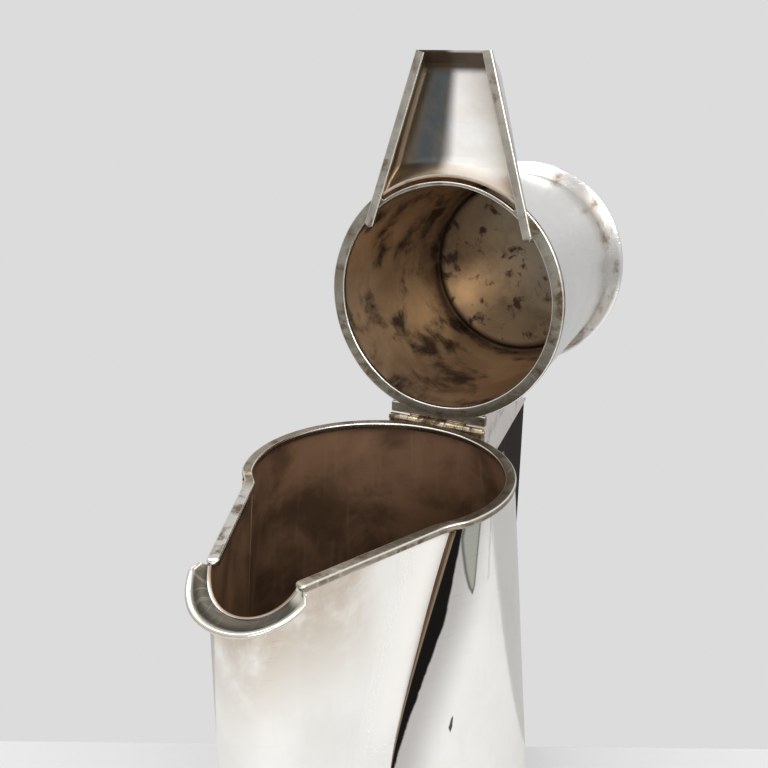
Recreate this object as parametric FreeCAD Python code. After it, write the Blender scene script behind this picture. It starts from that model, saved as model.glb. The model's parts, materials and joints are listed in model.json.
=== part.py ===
"""Silver coffee pot: a tapered body with a full-height wedge spout, a tall hinged lid whose
spout cover is part of it, and an ebony handle held between two silver brackets.

Frame: millimetres, +Z up, origin on the body axis in the plane the foot rests on.
The spout points to -X and the handle to +X. The lid is modelled open, as it rests."""
import FreeCAD, Part
import math
import os

V = FreeCAD.Vector

# ---- driving dimensions, mm and degrees -------------------------------------------------
# body
rim_height = 150.0
body_radius_top = 39.4
body_taper = 0.09
body_wall = 0.9
# wedge spout, a vertical prism that runs into the body
spout_nose_x = 60.0
spout_side_inset = 2.54
spout_half_angle = 22.6
spout_root_x = 10.0
spout_wall = 0.9
# seam of body and spout: above seam_low it swings back from where cone and side plane meet
seam_low = 82.0
seam_swing = 11.5
seam_curl = 1.5
seam_steps = 8
seam_lap = 1.5
# foot and floor
foot_height = 2.5
foot_outset = 1.0
foot_width = 4.0
floor_thickness = 1.0
# mouth rim: round wire, then a flat strip along each spout side
rim_outset = 0.6
rim_width = 3.2
rim_thickness = 2.0
rim_end_x = 19.0
strip_width = 3.2
strip_outset = 0.7
strip_thickness = 2.0
strip_drop = 0.5
strip_start_x = 17.5
# pouring lip round the nose of the spout
lip_side_reach = 3.2
lip_front_reach = 6.4
lip_drop = 6.6
lip_thickness = 1.3
lip_bead = 0.7
lip_bead_dip = 0.15
lip_channel = 0.7
lip_channel_place = 0.45
lip_curl = 0.85
lip_clearance = 0.35
lip_sections = 13
solder_gap = 0.02
# hinge
hinge_outset = 2.2
hinge_drop = 0.4
knuckle_radius = 1.4
knuckle_length = 6.6
knuckle_gap = 0.2
pin_radius = 0.7
pin_clearance = 0.06
pin_head = 0.5
hinge_clearance = 0.3
bearer_depth = 4.5
stop_length = 2.2
lid_open_angle = 92.0
# lid
seat_gap = 0.25
lid_ring_outset = 0.1
lid_ring_width = 3.9
lid_ring_thickness = 2.0
lid_wall = 0.9
lid_inset = 0.3
lid_narrowing = 4.8
lid_neck_height = 74.0
collar_inset = 0.8
collar_height = 4.6
collar_edge = 1.9
top_plate_thickness = 1.0
inner_disc_height = 73.0
inner_disc_thickness = 0.8
inner_groove_width = 0.5
inner_groove_depth = 0.4
tab_half_width = 16.6
tab_root_inset = 3.0
tab_clearance = 0.2
# spout cover on the lid
cover_root_inset = 8.5
cover_root_half = 25.4
cover_tip_reach = 15.3
cover_tip_half = 11.9
cover_depth = 5.5
cover_slope = 5.0
cover_wall = 0.9
cover_strip_width = 3.0
cover_strip_thickness = 1.5
cover_strip_root_x = 21.0
cover_strip_margin = 0.45
cover_ring_edge = 1.3
# handle
handle_half_width = 10.0
handle_outer_x = 106.0
handle_joint_top = 10.8
handle_joint_slope = 0.297
handle_length = 97.0
handle_gap = 7.0
arm_height = 14.0
grip_depth = 21.0
grip_corner = 9.0
grip_round = 2.6
shortest_rounded = 3.0
bracket_wall = 1.2
bracket_tip = 0.8
cavity_inset = 20.0
lower_bracket_toe = 6.0
grip_pin_radius = 1.5
grip_pin_inset = 24.0

# ---- derived places ---------------------------------------------------------------------
spout_sin = math.sin(math.radians(spout_half_angle))
spout_cos = math.cos(math.radians(spout_half_angle))
side_distance = body_radius_top - spout_side_inset
spout_nose_radius = side_distance - spout_nose_x * spout_sin
nose_touch_x = spout_nose_x + spout_nose_radius * spout_sin
lip_half_angle = 90 - spout_half_angle
rim_radius = body_radius_top + rim_outset
lid_ring_radius = body_radius_top + lid_ring_outset
lid_radius_bottom = body_radius_top - lid_inset
lid_radius_top = lid_radius_bottom - lid_narrowing
collar_radius = body_radius_top - collar_inset
tab_root_x = body_radius_top - tab_root_inset
cover_root_x = body_radius_top - cover_root_inset
cover_tip_x = spout_nose_x + cover_tip_reach
hinge_x = body_radius_top + hinge_outset
hinge_z = rim_height - hinge_drop
hinge_half = 2.5 * knuckle_length
bearer_top = hinge_z - knuckle_radius - hinge_clearance
knuckle_back = hinge_x + knuckle_radius + hinge_clearance
ring_plane = rim_height + seat_gap
strip_top = rim_height - strip_drop
collar_base = lid_neck_height
lid_height = collar_base + collar_height + collar_edge
# lengths that only carry a cutting or joining solid past the faces it meets
overshoot = 5.0
BIG = 400.0


# ---- small builders ---------------------------------------------------------------------
def body_radius(z):
    return body_radius_top + body_taper * (rim_height - z)


def disc(radius, z0, z1):
    return Part.makeCylinder(radius, z1 - z0, V(0, 0, z0))


def annulus(outer, inner, z0, z1):
    return disc(outer, z0, z1).cut(disc(inner, z0 - overshoot, z1 + overshoot))


def box(x0, x1, y0, y1, z0, z1):
    return Part.makeBox(x1 - x0, y1 - y0, z1 - z0, V(x0, y0, z0))


def cone(z0, z1, offset):
    """The body's cone between two heights, its surface moved out by offset."""
    return Part.makeCone(body_radius(z0) + offset, body_radius(z1) + offset, z1 - z0, V(0, 0, z0))


def prism(points, direction):
    """A closed outline of (x, y, z) points, carried along direction."""
    corners = [V(*p) for p in points]
    return Part.Face(Part.makePolygon(corners + corners[:1])).extrude(direction)


def side_profile(points, half_width):
    """An outline of (x, z) points in the plane of symmetry, given a thickness."""
    return prism([(x, -half_width, z) for x, z in points], V(0, 2 * half_width, 0))


def hollowed(solid, cavity):
    """A sheet-metal bracket: its cavity opens only on the wall it is soldered to."""
    return largest(solid.cut(cavity))


def revolved(points):
    """An outline of (radius, z) points, turned round the body axis."""
    corners = [V(r, 0, z) for r, z in points]
    face = Part.Face(Part.makePolygon(corners + corners[:1]))
    return face.revolve(V(0, 0, 0), V(0, 0, 1), 360)


def spout_side_y(x, offset):
    """Half-width of the spout's flat sides at x in front of the axis, moved out by offset."""
    return (side_distance + offset - x * spout_sin) / spout_cos


def nose_touch(offset):
    """Where a flat side moved out by offset runs into the round nose, as (x forward, y)."""
    radius = spout_nose_radius + offset
    return spout_nose_x + radius * spout_sin, radius * spout_cos


def spout_prism(offset, z0, z1):
    """The wedge in plan, moved out by offset: two flat sides tangent to a round nose."""
    radius = spout_nose_radius + offset
    touch_x, touch_y = nose_touch(offset)
    root_y = spout_side_y(spout_root_x, offset)
    left_root = V(-spout_root_x, -root_y, z0)
    left_touch = V(-touch_x, -touch_y, z0)
    right_root = V(-spout_root_x, root_y, z0)
    right_touch = V(-touch_x, touch_y, z0)
    nose = Part.Arc(left_touch, V(-spout_nose_x - radius, 0, z0), right_touch).toShape()
    edges = [
        Part.makeLine(left_root, left_touch),
        nose,
        Part.makeLine(right_touch, right_root),
        Part.makeLine(right_root, left_root),
    ]
    return Part.Face(Part.Wire(edges)).extrude(V(0, 0, z1 - z0))


def mirrored(shape):
    return shape.mirror(V(0, 0, 0), V(0, 1, 0))


# ---- body shell -------------------------------------------------------------------------
def seam_x(z):
    """Distance of the seam in front of the axis at height z."""
    meet = math.degrees(math.asin(side_distance / body_radius(z))) - spout_half_angle
    swing = seam_swing * ((z - seam_low) / (rim_height - seam_low)) ** seam_curl
    return body_radius(z) * math.cos(math.radians(meet + swing))


def seam_front(lap):
    """Everything in front of the swung-back part of the seam, from lap behind it."""
    rise = (rim_height - seam_low) / seam_steps
    heights = [seam_low + rise * step for step in range(seam_steps + 1)]
    edge = [(lap - seam_x(z), z) for z in heights]
    return side_profile(edge + [(-BIG, rim_height), (-BIG, seam_low)], BIG / 2)


def body_cone():
    """Tapered tube, opened at the front for the spout; its edges are filled in to the sheet."""
    top = rim_height - rim_thickness
    core = cone(foot_height, top, -body_wall).cut(seam_front(seam_lap))
    tube = cone(foot_height, top, 0).cut(core)
    tube = tube.cut(spout_prism(0, 0, BIG)).cut(seam_front(0))
    return largest(tube.cut(rim_strip(-1)).cut(rim_strip(1)))


def spout_sheet():
    """One bent sheet: two flat sides and a round nose, cut down under the pouring lip."""
    shell = spout_prism(0, foot_height, rim_height).cut(spout_prism(-spout_wall, 0, BIG))
    shell = shell.cut(cone(foot_height, rim_height, -body_wall).cut(seam_front(seam_lap)))
    shell = shell.cut(rim_strip(-1)).cut(rim_strip(1))
    strips_top = box(-nose_touch_x, 0, -BIG, BIG, strip_top - strip_thickness, BIG)
    return largest(shell.cut(strips_top).cut(over_nose()))


def over_nose():
    """Everything over the nose's sloping top edge, which is flush with the pouring lip."""
    edge = [(-spout_nose_x - spout_nose_radius * math.cos(math.radians(angle)), lip_height(angle))
            for angle in lip_angles() if angle >= 0]
    edge.insert(0, (edge[0][0] - overshoot, edge[0][1]))
    return side_profile(edge + [(edge[-1][0], BIG), (edge[0][0], BIG)], BIG / 2)


def largest(shape):
    return max(shape.Solids, key=lambda solid: solid.Volume)


def floor_plate():
    """Flat sheet inside the foot band, level with its underside."""
    inset = foot_outset - foot_width
    plate = disc(body_radius(0) + inset, 0, floor_thickness)
    return plate.fuse(spout_prism(inset, 0, floor_thickness)).removeSplitter()


def foot_wire():
    """Flat band under the walls, following the plan of cone and spout."""
    outer = disc(body_radius(0) + foot_outset, 0, foot_height)
    outer = outer.fuse(spout_prism(foot_outset, 0, foot_height))
    inset = foot_outset - foot_width
    inner = disc(body_radius(0) + inset, -overshoot, foot_height + overshoot)
    inner = inner.fuse(spout_prism(inset, -overshoot, foot_height + overshoot))
    return outer.cut(inner).removeSplitter()


# ---- mouth ------------------------------------------------------------------------------
def mouth_rim():
    """Round rim wire, ended at the spout and let in at the hinge."""
    ring = annulus(rim_radius, rim_radius - rim_width, rim_height - rim_thickness, rim_height)
    ring = ring.cut(box(-BIG, -rim_end_x, -BIG, BIG, 0, BIG))
    notch = hinge_half + hinge_clearance
    front = hinge_x - knuckle_radius - hinge_clearance
    return ring.cut(box(front, BIG, -notch, notch, 0, BIG))


def rim_strip(side):
    """Flat strip along the top of one spout side, from the rim wire to the lip."""
    z0 = strip_top - strip_thickness
    inner = strip_outset - strip_width
    outer_x, outer_y = nose_touch(strip_outset)
    inner_x, inner_y = nose_touch(inner)
    outline = [
        (-strip_start_x, side * spout_side_y(strip_start_x, strip_outset), z0),
        (-outer_x, side * outer_y, z0),
        (-inner_x, side * inner_y, z0),
        (-strip_start_x, side * spout_side_y(strip_start_x, inner), z0),
    ]
    strip = prism(outline, V(0, 0, strip_thickness))
    wire = annulus(rim_radius, rim_radius - rim_width, rim_height - rim_thickness, rim_height)
    return strip.cut(wire.cut(box(-BIG, -rim_end_x, -BIG, BIG, 0, BIG)))


def lip_angles():
    """Angles round the nose, from one flat side to the other."""
    step = 2 * lip_half_angle / (lip_sections - 1)
    return [-lip_half_angle + step * index for index in range(lip_sections)]


def lip_height(angle):
    """Height of the lip's top at an angle round the nose; it dips most at the front."""
    share = max(1 - (angle / lip_half_angle) ** 2, 0)
    return strip_top - lip_clearance - lip_drop * share ** lip_curl


def lip_section(angle):
    """Cross-section of the lip at an angle round the nose."""
    turn = math.radians(angle)
    forward = math.cos(turn)
    inner = spout_nose_radius - spout_wall
    outer = spout_nose_radius + lip_side_reach + (lip_front_reach - lip_side_reach) * forward
    middle = inner + lip_channel_place * (outer - inner)
    inner_z = lip_height(angle)
    valley_z = inner_z - lip_channel * forward
    bead_z = inner_z
    points = [
        (inner, inner_z),
        (middle, valley_z),
        (outer - 2 * lip_bead, bead_z - lip_bead_dip),
        (outer - lip_bead, bead_z),
        (outer, bead_z - lip_bead),
        (outer - lip_bead, bead_z - 2 * lip_bead),
        (middle, valley_z - lip_thickness),
        (inner, inner_z - lip_thickness),
    ]
    corners = [V(-spout_nose_x - r * forward, r * math.sin(turn), z) for r, z in points]
    return Part.makePolygon(corners + corners[:1])


def pouring_lip():
    """Turned-out lip round the nose: a channel that dips forward, with a bead on its edge."""
    sections = [lip_section(angle) for angle in lip_angles()]
    lip = Part.makeLoft(sections, True, False)
    return largest(lip.cut(spout_prism(solder_gap, 0, BIG)))


# ---- hinge, body side -------------------------------------------------------------------
def hinge_tube(y0, length, bore, keep):
    """One knuckle on the hinge line, with the leaf block keep fused to it."""
    tube = Part.makeCylinder(knuckle_radius, length, V(hinge_x, y0, hinge_z), V(0, 1, 0))
    start = V(hinge_x, y0 - overshoot, hinge_z)
    hole = Part.makeCylinder(bore, length + 2 * overshoot, start, V(0, 1, 0))
    return tube.fuse(keep).cut(hole).removeSplitter()


def knuckle_start(index):
    return -hinge_half + index * knuckle_length + knuckle_gap / 2


def body_knuckle(index):
    y0 = knuckle_start(index)
    length = knuckle_length - knuckle_gap
    saddle = box(hinge_x - knuckle_radius, hinge_x + knuckle_radius, y0, y0 + length,
                 bearer_top, hinge_z)
    return hinge_tube(y0, length, pin_radius, saddle)


def lid_knuckle(index):
    y0 = knuckle_start(index)
    length = knuckle_length - knuckle_gap
    leaf = box(tab_edge_x(), hinge_x, y0, y0 + length, ring_plane, hinge_z + knuckle_radius)
    return hinge_tube(y0, length, pin_radius + pin_clearance, leaf)


def tab_edge_x():
    return hinge_x - knuckle_radius - tab_clearance


def hinge_pin():
    length = 2 * hinge_half + 2 * pin_head
    start = V(hinge_x, -length / 2, hinge_z)
    return Part.makeCylinder(pin_radius, length, start, V(0, 1, 0))


def hinge_bearer():
    """Block behind the rim that carries the body's knuckles."""
    block = box(tab_root_x - overshoot, knuckle_back, -hinge_half, hinge_half,
                bearer_top - bearer_depth, bearer_top)
    solid = block.cut(cone(foot_height, rim_height, 0))
    return largest(solid.cut(disc(rim_radius, rim_height - rim_thickness, rim_height)))


# ---- handle -----------------------------------------------------------------------------
def joint_z(x):
    """Height of the upper joint between silver and ebony at x."""
    return rim_height - handle_joint_top - handle_joint_slope * (handle_outer_x - x)


def lower_joint_z(x):
    bottom = rim_height - handle_joint_top - handle_length
    return bottom + handle_joint_slope * (handle_outer_x - x)


def upper_bracket():
    """Silver gusset behind the hinge; its front edge is the stop the open lid rests on."""
    root = tab_root_x
    stop_z = hinge_z + hinge_x - tab_edge_x() - hinge_clearance
    outline = [
        (root, joint_z(root)),
        (root, bearer_top),
        (knuckle_back, bearer_top),
        (knuckle_back, stop_z),
        (knuckle_back + stop_length, stop_z),
        (handle_outer_x, joint_z(handle_outer_x) + bracket_tip),
        (handle_outer_x, joint_z(handle_outer_x)),
    ]
    bracket = side_profile(outline, handle_half_width)
    bracket = bracket.cut(cone(foot_height, rim_height, 0)).cut(disc(rim_radius, 0, rim_height))
    bracket = bracket.cut(hinge_bearer())
    low = bracket_wall / math.cos(math.atan(handle_joint_slope))
    far = handle_outer_x - cavity_inset
    ceiling = bearer_top - bearer_depth - bracket_wall
    cavity = [(root, joint_z(root) + low), (root, ceiling), (far, joint_z(far) + low)]
    return hollowed(bracket, side_profile(cavity, handle_half_width - bracket_wall))


def handle_grip():
    """Ebony grip: an open C with an upright outer edge and slanted ends."""
    root = body_radius(joint_z(hinge_x)) + handle_gap
    low_root = body_radius(lower_joint_z(root)) + handle_gap
    inner = handle_outer_x - grip_depth
    outline = [
        (root, joint_z(root)),
        (handle_outer_x, joint_z(handle_outer_x)),
        (handle_outer_x, lower_joint_z(handle_outer_x)),
        (low_root, lower_joint_z(low_root)),
        (low_root, lower_joint_z(low_root) + arm_height),
        (inner, lower_joint_z(inner) + arm_height),
        (inner, joint_z(inner) - arm_height),
        (root, joint_z(root) - arm_height),
    ]
    grip = side_profile(outline, handle_half_width)
    grip = grip.makeFillet(grip_corner, upright_edges(grip, inner))
    rounded = [e for e in grip.Edges if face_edge(e) and e.Length > shortest_rounded]
    return grip.makeFillet(grip_round, rounded)


def upright_edges(shape, x):
    """Edges across the thickness that stand at x."""
    found = []
    for edge in shape.Edges:
        ends = [v.Point for v in edge.Vertexes]
        across = len(ends) == 2 and abs(ends[0].y - ends[1].y) > handle_half_width
        if across and abs(ends[0].x - x) < 0.01:
            found.append(edge)
    return found


def face_edge(edge):
    """True for an edge of the two flat faces that isn't part of a joint with silver."""
    middle = edge.valueAt((edge.FirstParameter + edge.LastParameter) / 2)
    on_face = abs(abs(middle.y) - handle_half_width) < 0.01
    on_joint = abs(middle.z - joint_z(middle.x)) < 0.05
    on_low_joint = abs(middle.z - lower_joint_z(middle.x)) < 0.05
    return on_face and not on_joint and not on_low_joint


def lower_bracket():
    """Silver gusset under the foot of the grip, the upper one turned over."""
    root = body_radius(lower_joint_z(tab_root_x)) - overshoot
    toe = lower_joint_z(handle_outer_x)
    outline = [
        (root, lower_joint_z(root)),
        (handle_outer_x, lower_joint_z(handle_outer_x)),
        (handle_outer_x, toe - bracket_tip),
        (root, toe - lower_bracket_toe),
    ]
    bracket = side_profile(outline, handle_half_width).cut(cone(foot_height, rim_height, 0))
    low = bracket_wall / math.cos(math.atan(handle_joint_slope))
    far = handle_outer_x - cavity_inset
    floor = toe - lower_bracket_toe + bracket_wall
    cavity = [(root, lower_joint_z(root) - low), (root, floor), (far, lower_joint_z(far) - low)]
    return hollowed(bracket, side_profile(cavity, handle_half_width - bracket_wall))


def grip_pins():
    """Cross pins that hold the grip near each joint, flush with its sides."""
    x = handle_outer_x - grip_pin_inset
    upper = joint_z(x) - arm_height / 2
    lower = lower_joint_z(x) + arm_height / 2
    length = 2 * handle_half_width
    pins = [Part.makeCylinder(grip_pin_radius, length, V(x, -length / 2, z), V(0, 1, 0))
            for z in (upper, lower)]
    return Part.makeCompound(pins)


# ---- lid, built closed and then turned open ---------------------------------------------
def lid_cone(offset, z0, z1):
    """The lid's cone between two heights over its ring plane, moved out by offset."""
    slope = (lid_radius_top - lid_radius_bottom) / lid_neck_height
    bottom = lid_radius_bottom + slope * z0 + offset
    top = lid_radius_bottom + slope * z1 + offset
    return Part.makeCone(bottom, top, z1 - z0, V(0, 0, ring_plane + z0))


def cover_region(offset, z0, z1):
    """Plan of the spout cover between its two side lines, moved in by offset."""
    run = cover_tip_x - cover_root_x
    slope = (cover_root_half - cover_tip_half) / run
    inset = offset * math.sqrt(1 + slope * slope)
    front = cover_tip_x + overshoot
    half_back = cover_tip_half + slope * cover_tip_x - inset
    half_front = cover_tip_half - slope * overshoot - inset
    outline = [(0, -half_back, z0), (-front, -half_front, z0),
               (-front, half_front, z0), (0, half_back, z0)]
    return prism(outline, V(0, 0, z1 - z0))


def cover_block(inset):
    """The cover as a solid wedge with a sloping front, its faces moved in by inset."""
    top = ring_plane + cover_depth + cover_wall - inset
    tip = cover_tip_x - inset * math.hypot(cover_slope, cover_depth) / cover_depth
    profile = [
        (0, ring_plane - inset),
        (-tip - inset * cover_slope / cover_depth, ring_plane - inset),
        (-tip + cover_slope * (cover_depth + cover_wall - inset) / cover_depth, top),
        (0, top),
    ]
    region = cover_region(inset + cover_strip_margin, 0, BIG)
    return side_profile(profile, BIG / 2).common(region)


def cover_shell():
    shell = cover_block(0).cut(cover_block(cover_wall))
    shell = shell.cut(disc(lid_ring_radius, 0, ring_plane + lid_ring_thickness))
    return shell.cut(lid_cone(0, 0, lid_neck_height))


def cover_roof():
    roof = cover_shell().common(box(-BIG, 0, -BIG, BIG, ring_plane + cover_depth, BIG))
    return largest(roof)


def cover_walls():
    return cover_shell().cut(box(-BIG, 0, -BIG, BIG, ring_plane + cover_depth, BIG))


def cover_inner():
    return cover_region(cover_wall + cover_strip_margin, 0, BIG)


def cover_end_wall():
    wall = cover_walls().common(cover_inner())
    return largest(wall.cut(cover_strip(-1)).cut(cover_strip(1)))


def cover_side(side):
    half = box(-BIG, 0, 0, BIG, 0, BIG) if side > 0 else box(-BIG, 0, -BIG, 0, 0, BIG)
    wall = cover_walls().cut(cover_inner()).common(half)
    return largest(wall.cut(cover_strip(side)))


def cover_strip(side):
    """Flat strip along one edge of the cover, standing a little below the ring plane."""
    z0 = ring_plane - strip_drop
    outer = cover_region(0, z0, z0 + cover_strip_thickness)
    band = outer.cut(cover_region(cover_strip_width, 0, BIG))
    half = box(-cover_tip_x, -cover_strip_root_x, 0, BIG, 0, BIG)
    if side < 0:
        half = mirrored(half)
    return largest(band.common(half).cut(lid_ring_full()))


def lid_ring_full():
    return annulus(lid_ring_radius, lid_ring_radius - lid_ring_width, ring_plane,
                   ring_plane + lid_ring_thickness)


def lid_base_ring():
    """Flat ring under the lid wall, open at the front between the cover's strips."""
    gap = cover_region(cover_strip_width, 0, BIG).common(box(-BIG, 0, -BIG, BIG, 0, BIG))
    gap = gap.cut(disc(lid_ring_radius - lid_ring_width + cover_ring_edge, 0, BIG))
    tab = box(tab_root_x, BIG, -tab_half_width, tab_half_width, 0, BIG)
    return lid_ring_full().cut(gap).cut(tab)


def lid_hinge_tab():
    inner = disc(lid_ring_radius - lid_ring_width, 0, BIG)
    return box(tab_root_x, tab_edge_x(), -tab_half_width, tab_half_width, ring_plane,
               ring_plane + lid_ring_thickness).cut(inner)


def lid_wall_tube():
    """Tapered wall standing on the ring."""
    z0 = lid_ring_thickness
    return lid_cone(0, z0, lid_neck_height).cut(lid_cone(-lid_wall, z0, lid_neck_height))


def lid_collar():
    """Flared collar round the top of the lid, ending in an upright edge."""
    base = ring_plane + collar_base
    neck = lid_radius_top
    return revolved([
        (neck - lid_wall, base),
        (neck, base),
        (collar_radius, base + collar_height),
        (collar_radius, base + collar_height + collar_edge),
        (neck - lid_wall, base + collar_height + collar_edge),
    ])


def lid_top_plate():
    top = ring_plane + lid_height - collar_edge
    return disc(lid_radius_top - lid_wall, top, top + top_plate_thickness)


def lid_inner_disc():
    """Flat lining disc inside the lid's top, with a narrow groove round its face."""
    z0 = inner_disc_height
    groove_top = z0 + inner_groove_depth
    plate = lid_cone(-lid_wall, z0, z0 + inner_disc_thickness)
    groove = lid_cone(0, z0, groove_top).cut(
        lid_cone(-lid_wall - inner_groove_width, z0, groove_top))
    return plate.cut(groove)


def opened(shape):
    turned = shape.copy()
    turned.rotate(V(hinge_x, 0, hinge_z), V(0, 1, 0), lid_open_angle)
    return turned


# ---- assembly ---------------------------------------------------------------------------
def parts():
    body = {
        "body_cone": body_cone(),
        "spout_sheet": spout_sheet(),
        "floor_plate": floor_plate(),
        "foot_wire": foot_wire(),
        "mouth_rim": mouth_rim(),
        "rim_strip_left": rim_strip(-1),
        "rim_strip_right": rim_strip(1),
        "pouring_lip": pouring_lip(),
        "hinge_bearer": hinge_bearer(),
        "body_knuckle_left": body_knuckle(0),
        "body_knuckle_centre": body_knuckle(2),
        "body_knuckle_right": body_knuckle(4),
        "hinge_pin": hinge_pin(),
        "upper_bracket": upper_bracket(),
        "handle_grip": handle_grip().cut(grip_pins()),
        "grip_pins": grip_pins(),
        "lower_bracket": lower_bracket(),
    }
    lid = {
        "lid_wall": lid_wall_tube(),
        "lid_base_ring": lid_base_ring(),
        "lid_hinge_tab": lid_hinge_tab(),
        "lid_knuckle_left": lid_knuckle(1),
        "lid_knuckle_right": lid_knuckle(3),
        "lid_collar": lid_collar(),
        "lid_top_plate": lid_top_plate(),
        "lid_inner_disc": lid_inner_disc(),
        "cover_roof": cover_roof(),
        "cover_side_left": cover_side(-1),
        "cover_side_right": cover_side(1),
        "cover_end_wall": cover_end_wall(),
        "cover_strip_left": cover_strip(-1),
        "cover_strip_right": cover_strip(1),
    }
    body.update({name: opened(shape) for name, shape in lid.items()})
    return body


def main():
    os.makedirs("parts", exist_ok=True)
    for name, shape in parts().items():
        print(name, len(shape.Solids), round(shape.Volume, 1), shape.isValid())
        shape.exportStep("parts/" + name + ".step")


main()
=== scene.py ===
"""Looks of the silver coffee pot: worn silver body, open lid with its spout cover, ebony grip.

Lengths are millimetres until a mesh is written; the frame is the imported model's."""
import json
import math

import bpy
import numpy as np
from mathutils import Matrix, Vector


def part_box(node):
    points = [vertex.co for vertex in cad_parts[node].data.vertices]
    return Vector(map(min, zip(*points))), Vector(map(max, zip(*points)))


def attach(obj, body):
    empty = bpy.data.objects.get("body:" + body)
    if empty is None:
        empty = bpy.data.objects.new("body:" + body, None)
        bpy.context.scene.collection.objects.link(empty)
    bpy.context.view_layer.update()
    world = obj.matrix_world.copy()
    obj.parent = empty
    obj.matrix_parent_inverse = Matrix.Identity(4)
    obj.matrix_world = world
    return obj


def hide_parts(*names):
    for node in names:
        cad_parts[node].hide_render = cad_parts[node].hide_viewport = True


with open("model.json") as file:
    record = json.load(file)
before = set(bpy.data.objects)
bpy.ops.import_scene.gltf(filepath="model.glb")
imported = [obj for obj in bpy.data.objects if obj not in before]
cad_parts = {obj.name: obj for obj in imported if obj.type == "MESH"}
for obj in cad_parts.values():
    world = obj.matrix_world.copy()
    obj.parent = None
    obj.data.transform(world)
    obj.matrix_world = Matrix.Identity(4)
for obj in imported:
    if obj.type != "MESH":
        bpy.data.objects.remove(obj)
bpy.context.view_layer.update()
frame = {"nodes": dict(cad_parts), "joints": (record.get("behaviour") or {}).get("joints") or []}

MM = 0.001
TURN = 2 * math.pi
hinge = frame["joints"][0]
hinge_line = np.array(hinge["pos_m"]) / MM
open_angle = -math.radians(hinge["range_deg"][0])

# ---- sizes shared with the solids, mm ---------------------------------------------------
rim_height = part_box("mouth_rim")[1].z / MM
rim_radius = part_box("mouth_rim")[1].y / MM
foot_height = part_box("foot_wire")[1].z / MM
body_radius_top, body_taper, body_wall = 39.4, 0.09, 0.9
seam_low, seam_swing, seam_curl, seam_lap = 82.0, math.radians(11.5), 1.5, 1.5
nose_x, nose_radius, spout_angle = 60.0, 13.8, math.radians(22.6)
rim_width, rim_thickness = 3.2, 2.0
strip_outset, strip_thickness, strip_drop = 0.7, 2.0, 0.5
lip_side_reach, lip_front_reach, lip_drop = 3.2, 6.4, 6.6
lip_thickness, lip_bead, lip_channel, lip_clearance, lip_curl = 1.3, 0.7, 0.7, 0.35, 0.85
ring_plane = rim_height + 0.25
ring_radius, ring_width, ring_thickness = 39.5, 3.9, 2.0
lid_radius_bottom, lid_radius_top, lid_neck, lid_wall = 39.1, 34.3, 74.0, 0.9
collar_radius, collar_height, collar_edge = 38.6, 4.6, 1.9
disc_height = 73.0
tab_root_x, tab_edge_x, tab_half = 36.4, 40.0, 16.6
cover_root_x, cover_root_half, cover_tip_x, cover_tip_half = 30.9, 25.4, 75.3, 11.9
cover_depth, cover_slope, cover_wall, cover_margin = 5.5, 5.0, 0.9, 0.45
cover_strip_width, cover_strip_thickness, cover_ring_edge = 3.0, 1.5, 1.3
cover_strip_root_x = 21.0
strip_top = rim_height - strip_drop
side_distance = nose_radius + nose_x * math.sin(spout_angle)
# mouth wire, forward of the axis: where its ring ends, where it bends over to the strips, where
# its right side steps down instead; then how far a section leans, its corners, its round ends
ring_end_x, bend_low, bend_high, step_low, step_high = 14.02, 17.5, 25.0, 19.2, 20.2
wire_lean, wire_corner, wire_end = 0.62, 0.5, 1.3
# spout cover: where the sheet starts, its depth there, the radius of its long corners
trough_start_x, trough_start_depth, trough_corner = 36.0, 1.3, 2.0
# points up one side of a sheet; share of the spout's outline on either side of the nose's middle
sheet_rows, nose_share = 60, 0.14
# borders of the painted shadow and painted reflections on the body: (heights, distances from the
# nearer seam)
shadow_border = ((70, 90, 110, 125, 140, 150), (0.2, 1.5, 3.6, 5.0, 3.2, 1.8))
flame_left_border = ((126, 135, 145, 150), (13.5, 7.8, 2.8, 2.2))
flame_right_border = ((126, 135, 150), (13.9, 12.0, 8.6))
line_place, painted_reflection_foot = ((130, 150), (18.5, 12.8)), 129
# dark painted reflection: distance from the seam and height of its middle, half its width and
# height
mark_place, mark_half = (15.5, 92), (0.7, 2.6)
far_off = 60.0


# ---- mesh helpers -----------------------------------------------------------------------
def smooth(low, high, value):
    """0 below low, 1 above high, and 3t^2 - 2t^3 between."""
    t = np.clip((value - low) / (high - low), 0, 1)
    return t * t * (3 - 2 * t)


def opened(points):
    """Points of the shut lid, turned round the hinge line to where the lid rests open."""
    c, s = math.cos(open_angle), math.sin(open_angle)
    rel = points - hinge_line
    swung = np.stack([c * rel[..., 0] + s * rel[..., 2], rel[..., 1],
                      c * rel[..., 2] - s * rel[..., 0]], -1)
    return swung + hinge_line


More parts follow.
